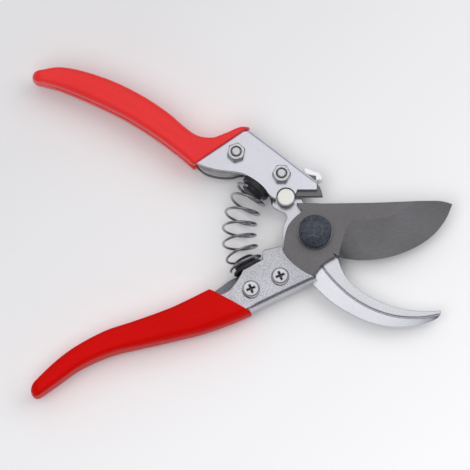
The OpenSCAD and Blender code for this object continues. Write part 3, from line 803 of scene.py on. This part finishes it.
def make_hook():
    eye_low = arc((0, 0), HOOK_EYE_R, 235, 165, 24)
    eye_top = arc((0, 0), HOOK_EYE_R, 110, 20, 30)
    outline = joined(smooth(HOOK_OUTER, 10), eye_low, smooth(HOOK_TANG, 6), eye_top, [(11.6, -4)],
                     smooth(HOOK_INNER, 10))
    holes = [((0, 0), PIVOT_HOLE + 0.02), (LATCH_AT, LATCH_PIN_R + 0.02)]
    holes += [(p, SCREW_HOLE) for p in UPPER_BOLTS]
    obj = plate("hook", outline, HOOK, holes, edge=0.2)
    groove = resample(smooth(HOOK_GROOVE, 10), 80)
    outer = resample(list(reversed(smooth(HOOK_OUTER, 10))), 80)
    cutter = slope_cutter("relief", groove, outer, HOOK[1] - 0.15, HOOK[1] - 0.7, HOOK[1] + 2)
    paint_index(cutter, 1)
    cut(obj, cutter)
    cut(obj, groove_cutter("groove", groove[2:], 0.45, HOOK[1] - 0.75, HOOK[1] + 1))
    for polygon in obj.data.polygons:
        if polygon.center.x < HOOK_TANG_X * MM:
            polygon.material_index = 2
    return piece(obj, "hook", "hook_half", "hook_steel", HOOK_LAND, HOOK_STEEL, TANG)


def make_upper_handle():
    seat_out = polar(SEAT_OUTER_R, UPPER_SEAT_ANGLE)
    seat_in = polar(SEAT_INNER_R, UPPER_SEAT_ANGLE)
    web_head = resample([(-27.5, 45.2), (-24, 42.5), (-4.7, 27.2), (0.9, 22.8)], 100)
    scallop = smooth(UPPER_SCALLOP, 8)
    back_lip = smooth(UPPER_BACK_LIP, 6)
    back_corner = [seat_in, (-18.8, 15), (-18.6, 13.6), (-12.4, 11.2), (-8.4, 13)]
    rows = matched_stations(
        [smooth(UPPER_WEB), web_head[:16], web_head[15:50], web_head[49:80], web_head[79:]],
        [smooth(UPPER_LIP), scallop[:40], scallop[39:], [(-17.2, 14.6), (-8.2, 16.6)],
         [(-8.2, 16.6), (-7.6, 18.4), (0.9, 18.4)]],
        [smooth(UPPER_LIP), back_lip, [seat_out, seat_in], back_corner,
         [(-8.4, 13), (-7.6, 17.6), (0.9, 18.4)]],
        [60, 20, 26, 20, 20])
    obj = channel("upper_handle", rows, UPPER_OUT, UPPER_IN)
    cut(obj, prism("thumb_way", [(-5.5, 30), (6, 26), (6, 15), (-5.5, 15)], UPPER_IN), 34)
    notch_r = BUTTON_R + 0.5
    low, high = UPPER_IN[1] - 0.5, UPPER_OUT[1] + 1
    notch = [(0, low), (notch_r, low), (notch_r, high), (0, high)]
    cut(obj, revolve("button_notch", notch, at=LATCH_AT), 34)
    return piece(obj, "upper_handle", "hook_half", "handle_steel", PRESSED, INSIDE_SHADE)


def make_latch():
    hub = arc(LATCH_AT, 3.7, 74, 281, 40)
    outline = joined(LEVER_ARM, hub, [(-9.6, 13.2)])
    lever = plate("latch_lever", outline, LEVER_Z, [(LATCH_AT, LATCH_PIN_R + 0.04)], edge=0.25)
    piece(lever, "latch_lever", "latch", "lever_steel", LEVER_STEEL)
    tab = plate("latch_thumb_tab", THUMB_TAB, (6.3, 11.6), edge=0.6)
    piece(tab, "latch_thumb_tab", "latch", "pale_plastic", TAB_PALE)


def disc(name, z, h, outer, inner, at=(0, 0), edge=0.12):
    """A flat ring with broken edges."""
    profile = [(inner, 0), (outer - edge, 0), (outer, edge)]
    profile += [(outer, h - edge), (outer - edge, h), (inner, h)]
    return revolve(name, profile, at=at, z=z)


def make_hardware():
    shank = LOWER_OUT[1] - LOWER_OUT[0] + NUT_H
    screws = [pan_screw("screw", p, LOWER_OUT[1], shank) for p in LOWER_SCREWS]
    piece(merge("lower_tang_screws", screws), "lower_tang_screws", "blade_half", "fasteners", ZINC, RECESS)
    nuts = [hex_nut("nut", p, LOWER_OUT[0] - NUT_H, NUT_AF, NUT_H, SCREW_HOLE, 10) for p in LOWER_SCREWS]
    piece(merge("lower_tang_nuts", nuts), "lower_tang_nuts", "blade_half", "fasteners", ZINC, WASHER)
    shank = UPPER_OUT[1] - UPPER_OUT[0] + NUT_H + 0.3
    bolts = []
    for p in UPPER_BOLTS:
        bolt = pan_screw("bolt", (0, 0), 0, shank)
        bolt.data.transform(Matrix.Rotation(math.pi, 4, "X"))
        bolt.data.transform(Matrix.Translation(Vector((p[0], p[1], UPPER_OUT[0])) * MM))
        bolts.append(bolt)
    piece(merge("upper_tang_bolts", bolts), "upper_tang_bolts", "hook_half", "fasteners", ZINC, RECESS)
    nuts = [hex_nut("nut", p, UPPER_OUT[1], NUT_AF, NUT_H, SCREW_HOLE, turn)
            for p, turn in zip(UPPER_BOLTS, UPPER_NUT_TURNS)]
    piece(merge("upper_tang_nuts", nuts), "upper_tang_nuts", "hook_half", "fasteners", ZINC, WASHER)


def make_pivot():
    shank_r = PIVOT_D / 2
    seat = BLADE[1] + WASHER_T
    brow = seat + CAP_H * 0.42
    profile = [(0, 0), (shank_r - 0.3, 0), (shank_r, 0.3), (shank_r, seat), (CAP_R - 0.3, seat),
               (CAP_R, seat + 0.3), (CAP_R, brow)]
    for k in range(1, 12):
        a = math.radians(90 * k / 12)
        profile.append((CAP_R * math.cos(a) ** 0.62, brow + CAP_H * 0.58 * math.sin(a)))
    profile.append((0, seat + CAP_H))
    bolt = revolve("pivot_bolt", profile, steps=96, sharp_degrees=40)
    piece(bolt, "pivot_bolt", "blade_half", "cap_black", CAP_BLACK)
    head_washer = disc("pivot_head_washer", BLADE[1], WASHER_T, CAP_R + 0.5, PIVOT_HOLE)
    piece(head_washer, "pivot_head_washer", "blade_half", "fasteners", WASHER)
    spring_washer = disc("pivot_spring_washer", SPRING_WASHER_Z, WASHER_T, CAP_R + 0.4, PIVOT_HOLE)
    piece(spring_washer, "pivot_spring_washer", "blade_half", "fasteners", ZINC)
    nut = hex_nut("pivot_nut", (0, 0), 0, PIVOT_NUT_AF, SPRING_WASHER_Z, PIVOT_HOLE, 0)
    piece(nut, "pivot_nut", "blade_half", "fasteners", ZINC, WASHER)


def make_latch_hardware():
    low = UPPER_OUT[0] - 1.2
    pin = [(0, low), (2.6, low), (3.2, low + 0.6), (3.2, low + 1.2), (LATCH_PIN_R, low + 1.2),
           (LATCH_PIN_R, 12.8), (0, 12.8)]
    piece(revolve("latch_pin", pin, at=LATCH_AT), "latch_pin", "hook_half", "fasteners", ZINC)
    hole = LATCH_PIN_R + 0.02
    washer = disc("latch_friction_washer", HOOK[1], 0.15, 3.4, hole, at=LATCH_AT, edge=0.03)
    piece(washer, "latch_friction_washer", "hook_half", "fasteners", ZINC)
    z = LEVER_Z[1] + 0.05
    button = [(hole, z), (BUTTON_R - 0.15, z), (BUTTON_R, z + 0.15), (BUTTON_R, z + 1.8)]
    for k in range(1, 7):
        a = math.radians(15 * k)
        button.append((BUTTON_R - 0.6 + 0.6 * math.cos(a), z + 1.8 + 0.5 * math.sin(a)))
    button += [(1.5, z + 2.42), (0, z + 2.45), (0, z + 1.4), (hole, z + 1.4)]
    piece(revolve("latch_button", button, at=LATCH_AT), "latch_button", "hook_half", "pale_plastic", PALE)


def make_spacers():
    lower = plate("lower_tang_spacer", LOWER_SPACER, (LOWER_IN[0], BLADE[0]),
                  [(p, SCREW_HOLE) for p in LOWER_SCREWS])
    piece(lower, "lower_tang_spacer", "blade_half", "handle_steel", PRESSED)
    upper = plate("upper_tang_spacer", UPPER_SPACER, (HOOK[1], UPPER_IN[1]),
                  [(p, SCREW_HOLE) for p in UPPER_BOLTS])
    piece(upper, "upper_tang_spacer", "hook_half", "handle_steel", PRESSED)


def make_grips():
    lower = dipped_grip("lower_grip", LOWER_WEB, LOWER_LIP, -1, 5.6, 5.4)
    piece(lower, "lower_grip", "blade_half", "red_vinyl", RED_VINYL_SHADED, weighted=False)
    upper = dipped_grip("upper_grip", UPPER_WEB, UPPER_LIP, 1, 4.4, 4.6)
    piece(upper, "upper_grip", "hook_half", "red_vinyl", RED_VINYL_LIT, weighted=False)


def make_spring_seats():
    lower = spring_seat("lower_spring_seat", LOWER_SEAT_ANGLE, -1, LOWER_FLANGE)
    piece(lower, "lower_spring_seat", "blade_half", "seat_black", SEAT_BLACK)
    upper = spring_seat("upper_spring_seat", UPPER_SEAT_ANGLE, 1, UPPER_FLANGE, 0.6)
    piece(upper, "upper_spring_seat", "hook_half", "seat_black", SEAT_BLACK)


make_blade()
make_lower_handle()
make_hook()
make_upper_handle()
make_grips()
make_spring_seats()
make_spring()
make_latch()
make_latch_hardware()
make_hardware()
make_pivot()
make_spacers()

# ---- table, light and camera


def make_table():
    """A pale table, painted a little darker towards its far left as painted shade. It is wide enough to
    reach the horizon.
    """
    half = 12
    mesh = bpy.data.meshes.new("table")
    mesh.from_pydata([(-half, -half, 0), (half, -half, 0), (half, half, 0), (-half, half, 0)], [],
                     [(0, 1, 2, 3)])
    table = new_object("table", mesh)
    mat = bpy.data.materials.new("table_paper")
    mat.use_nodes = True
    nodes, links = mat.node_tree.nodes, mat.node_tree.links
    shader = nodes["Principled BSDF"]
    shader.inputs["Roughness"].default_value = 0.9
    place = nodes.new("ShaderNodeTexCoord")
    mapping = nodes.new("ShaderNodeMapping")
    mapping.inputs["Location"].default_value = (0.5, 0, 0)
    mapping.inputs["Rotation"].default_value = (0, 0, math.radians(40))
    mapping.inputs["Scale"].default_value = (1.6, 1.6, 1.6)
    # The gradient paints shade on the table, darker towards its far left.
    gradient = nodes.new("ShaderNodeTexGradient")
    ramp = nodes.new("ShaderNodeValToRGB")
    ramp.color_ramp.elements[0].position = 0.3
    ramp.color_ramp.elements[0].color = (0.78, 0.78, 0.78, 1)
    ramp.color_ramp.elements[1].position = 0.7
    ramp.color_ramp.elements[1].color = (1, 1, 1, 1)
    links.new(place.outputs["Object"], mapping.inputs["Vector"])
    links.new(mapping.outputs["Vector"], gradient.inputs["Vector"])
    links.new(gradient.outputs["Fac"], ramp.inputs["Fac"])
    links.new(ramp.outputs["Color"], shader.inputs["Base Color"])
    mesh.materials.append(mat)


def soft_lamp(name, place, power):
    """A wide round lamp that looks at the shears and that metal doesn't reflect."""
    lamp = bpy.data.lights.new(name, "AREA")
    lamp.shape = "DISK"
    lamp.size = 0.9
    lamp.energy = power
    obj = bpy.data.objects.new(name, lamp)
    bpy.context.scene.collection.objects.link(obj)
    obj.location = place
    target = Vector((-0.03, 0, 0))
    obj.rotation_euler = (target - Vector(place)).to_track_quat("-Z", "Y").to_euler()
    obj.visible_glossy = False


def brightness_ramp(nodes, rows):
    """A ramp through (position, brightness) rows, slightly blue where it is dim."""
    ramp = nodes.new("ShaderNodeValToRGB")
    elements = ramp.color_ramp.elements
    while len(elements) < len(rows):
        elements.new(0.5)
    for element, (at, bright) in zip(elements, rows):
        element.position = at
        element.color = (bright, bright, bright * (1.08 if bright < 0.9 else 1), 1)
    return ramp


def make_studio():
    """A soft sky, with a bright cap that leans to the back over a dimmer band, and two soft lamps."""
    bpy.context.scene.view_settings.view_transform = "Standard"
    world = bpy.data.worlds.new("studio")
    bpy.context.scene.world = world
    world.use_nodes = True
    nodes, links = world.node_tree.nodes, world.node_tree.links
    background = nodes["Background"]
    background.inputs["Strength"].default_value = 0.98
    place = nodes.new("ShaderNodeTexCoord")
    lean = nodes.new("ShaderNodeMapping")
    lean.inputs["Rotation"].default_value = (math.radians(24), 0, 0)
    links.new(place.outputs["Generated"], lean.inputs["Vector"])
    both = nodes.new("ShaderNodeMix")
    both.data_type = "RGBA"
    both.blend_type = "LIGHTEN"
    both.inputs["Factor"].default_value = 1.0
    # Both ramps are rows of height in the sky and brightness
    horizon = ((0.0, 0.42), (0.05, 0.5), (0.12, 0.6), (0.17, 0.12), (0.2, 0.15), (0.25, 0.42),
               (0.48, 0.46), (0.58, 0.08), (1.0, 0.08))
    cap = ((0.58, 0.1), (0.8, 0.5), (0.91, 0.95), (1.0, 1.0))
    for source, rows, socket in ((place.outputs["Generated"], horizon, "A"),
                                 (lean.outputs["Vector"], cap, "B")):
        height = nodes.new("ShaderNodeSeparateXYZ")
        ramp = brightness_ramp(nodes, rows)
        links.new(source, height.inputs["Vector"])
        links.new(height.outputs["Z"], ramp.inputs["Fac"])
        links.new(ramp.outputs["Color"], both.inputs[socket])
    links.new(both.outputs["Result"], background.inputs["Color"])
    soft_lamp("key", (-0.3, -0.35, 0.9), 4.5)
    soft_lamp("fill", (0.6, 0.3, 0.8), 3)


def make_camera():
    """A long lens that looks down from the front."""
    distance = 1.96
    elevation = math.radians(76.5)
    target = Vector((-0.0343, -0.0011, 0.01165))
    data = bpy.data.cameras.new("camera")
    data.lens = 350
    data.sensor_width = 36
    data.dof.use_dof = False
    camera = bpy.data.objects.new("camera", data)
    bpy.context.scene.collection.objects.link(camera)
    camera.location = target + distance * Vector((0, -math.cos(elevation), math.sin(elevation)))
    camera.rotation_euler = (target - camera.location).to_track_quat("-Z", "Y").to_euler()
    bpy.context.scene.camera = camera


make_table()
make_studio()
make_camera()
